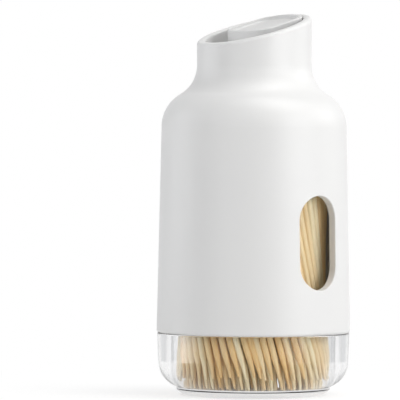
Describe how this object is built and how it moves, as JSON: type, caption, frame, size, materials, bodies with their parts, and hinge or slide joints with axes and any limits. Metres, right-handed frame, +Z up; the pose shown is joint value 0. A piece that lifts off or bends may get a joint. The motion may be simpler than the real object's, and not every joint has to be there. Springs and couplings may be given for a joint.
{
  "type": "toothpick dispenser",
  "caption": "Press-button toothpick dispenser: white bottle-shaped shell with a slanted mouth and a window, lift-off clear base with toothpicks, and a rocker that lifts one out.",
  "frame": {"origin": "centre of the flat ring that the clear base stands on, at the bottom of the box", "axes": "+Z up along the body's axis, -X towards the low side of the slanted mouth, -Y near the window, which is turned 7.8 degrees from it towards +X"},
  "size_m": [0.055, 0.055, 0.1086],
  "materials": {
    "shell_white": "satin moulded",
    "button_white": "satin moulded",
    "insert_white": "fine moulded",
    "clear_plastic": "clear polished",
    "mechanism_plastic": "moulded",
    "silicone": "soft matte",
    "steel": "drawn",
    "toothpick_wood": "unvarnished bamboo"
  },
  "bodies": {
    "base": {"clear_base": "clear_plastic", "inner_cup": "clear_plastic", "seal_ring": "silicone", "toothpicks_outer": "toothpick_wood", "toothpicks_middle": "toothpick_wood", "toothpicks_inner": "toothpick_wood"},
    "housing": {"outer_shell": "shell_white", "neck_insert": "insert_white", "spring_plate": "insert_white", "plate_screw": "steel", "funnel_plate": "insert_white", "shell_screws": "steel", "rocker_pin": "steel", "outlet_bush": "insert_white", "holding_ring": "silicone", "return_spring": "steel"},
    "button": {"push_button": "button_white", "button_stem": "mechanism_plastic"},
    "rocker": {"rocker_lever": "mechanism_plastic", "link_pin": "steel"},
    "lifter": {"lifter_block": "mechanism_plastic", "grip_ring": "silicone", "grip_cap": "mechanism_plastic", "toothpick_ready": "toothpick_wood"}
  },
  "joints": [
    {"name": "housing_lift", "type": "slide", "parent": "base", "child": "housing", "axis": [0, 0, 1], "range_m": [0, 0.075]},
    {"name": "button_press", "type": "slide", "parent": "housing", "child": "button", "axis": [0, 0, -1], "range_m": [0, 0.006], "stiffness_N_per_m": 250, "springref_m": -0.003, "deforming": ["return_spring"]},
    {"name": "rocker_turn", "type": "hinge", "parent": "housing", "child": "rocker", "pos_m": [0.0015, 0, 0.079], "axis": [0, 1, 0], "range_deg": [0, 50.76]},
    {"name": "lifter_rise", "type": "slide", "parent": "housing", "child": "lifter", "axis": [0, 0, 1], "range_m": [0, 0.009]}
  ],
  "couplings": [
    {"joint": "rocker_turn", "follows": "button_press", "rad_per_m": 147.64},
    {"joint": "lifter_rise", "follows": "button_press", "ratio": 1.5}
  ]
}
